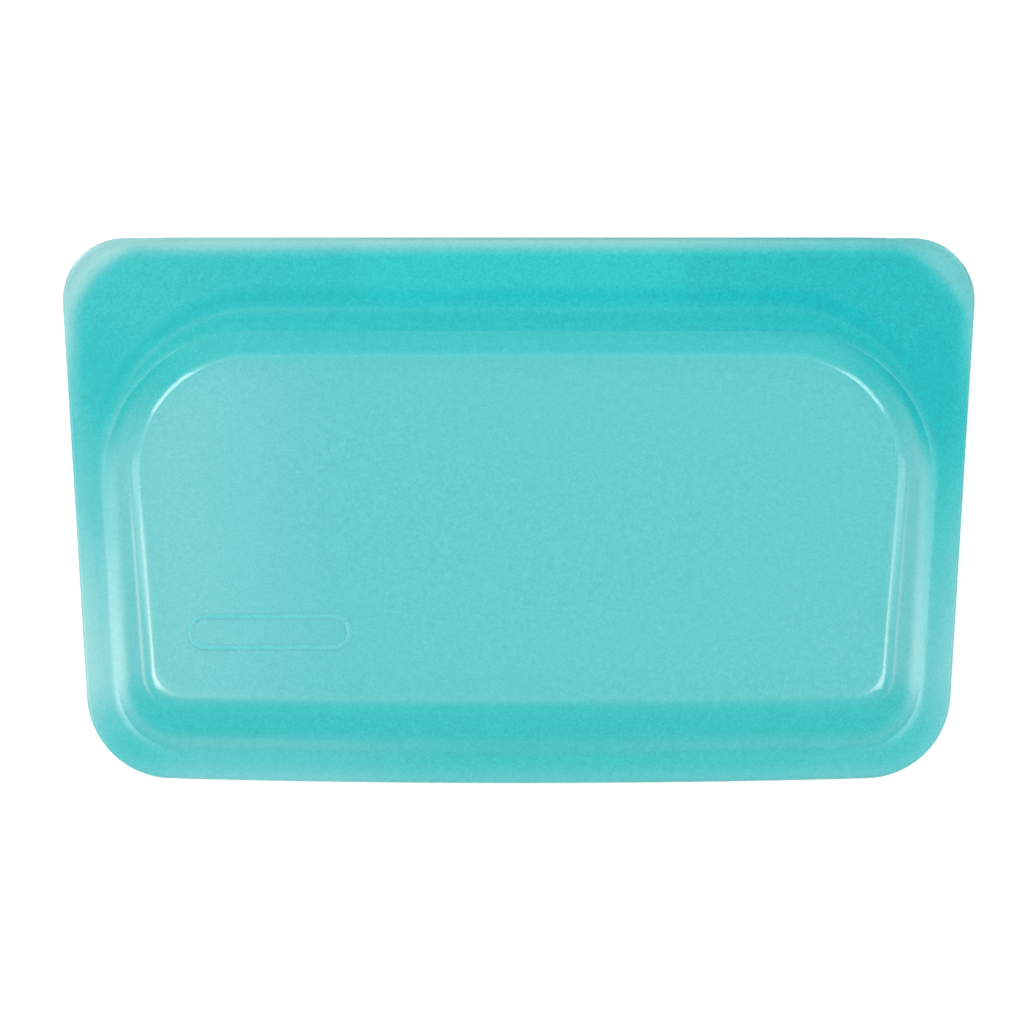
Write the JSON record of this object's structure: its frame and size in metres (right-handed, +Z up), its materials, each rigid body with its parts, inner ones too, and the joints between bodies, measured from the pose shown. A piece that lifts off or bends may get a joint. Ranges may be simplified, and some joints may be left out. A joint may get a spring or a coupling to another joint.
{
  "type": "reusable silicone bag",
  "caption": "Flat pouch of translucent silicone: bonded pocketed walls, a press-together seal along the long mouth edge, and peelable pull lips.",
  "frame": {"origin": "on the surface that the bag lies on, under the middle of its length and width", "axes": "+X along the mouth, towards the right as seen from above with the mouth away from the viewer; +Y towards the mouth edge; +Z up, out of the front wall"},
  "size_m": [0.1906, 0.114, 0.0118],
  "materials": {
    "silicone_wall": "satin translucent turquoise silicone",
    "silicone_seal": "satin translucent turquoise silicone, deeper in colour where it is thick",
    "silicone_bond": "satin translucent turquoise silicone, paler at the edge"
  },
  "bodies": {
    "bag_back": {"back_wall": "silicone_wall", "back_lip": "silicone_wall", "groove_outer_rib": "silicone_seal", "groove_inner_rib": "silicone_seal", "seal_stop_left": "silicone_seal", "seal_stop_right": "silicone_seal", "edge_seam": "silicone_bond", "front_rim": "silicone_wall"},
    "front_wall": {"front_pocket": "silicone_wall", "front_lip": "silicone_wall", "seal_tongue": "silicone_seal", "front_mark": "silicone_wall"},
    "front_tab": {"front_pull_tab": "silicone_wall"},
    "back_tab": {"back_pull_tab": "silicone_wall"}
  },
  "joints": [
    {"name": "mouth_open", "type": "hinge", "parent": "bag_back", "child": "front_wall", "pos_m": [0, -0.0521, 0.0074], "axis": [1, 0, 0], "range_deg": [0, 20], "stiffness_Nm_per_rad": 0.12},
    {"name": "front_lip_peel", "type": "hinge", "parent": "front_wall", "child": "front_tab", "pos_m": [0, 0.0495, 0.0079], "axis": [1, 0, 0], "range_deg": [0, 60], "stiffness_Nm_per_rad": 0.006},
    {"name": "back_lip_peel", "type": "hinge", "parent": "bag_back", "child": "back_tab", "pos_m": [0, 0.0495, 0.0035], "axis": [-1, 0, 0], "range_deg": [0, 26], "stiffness_Nm_per_rad": 0.006}
  ]
}
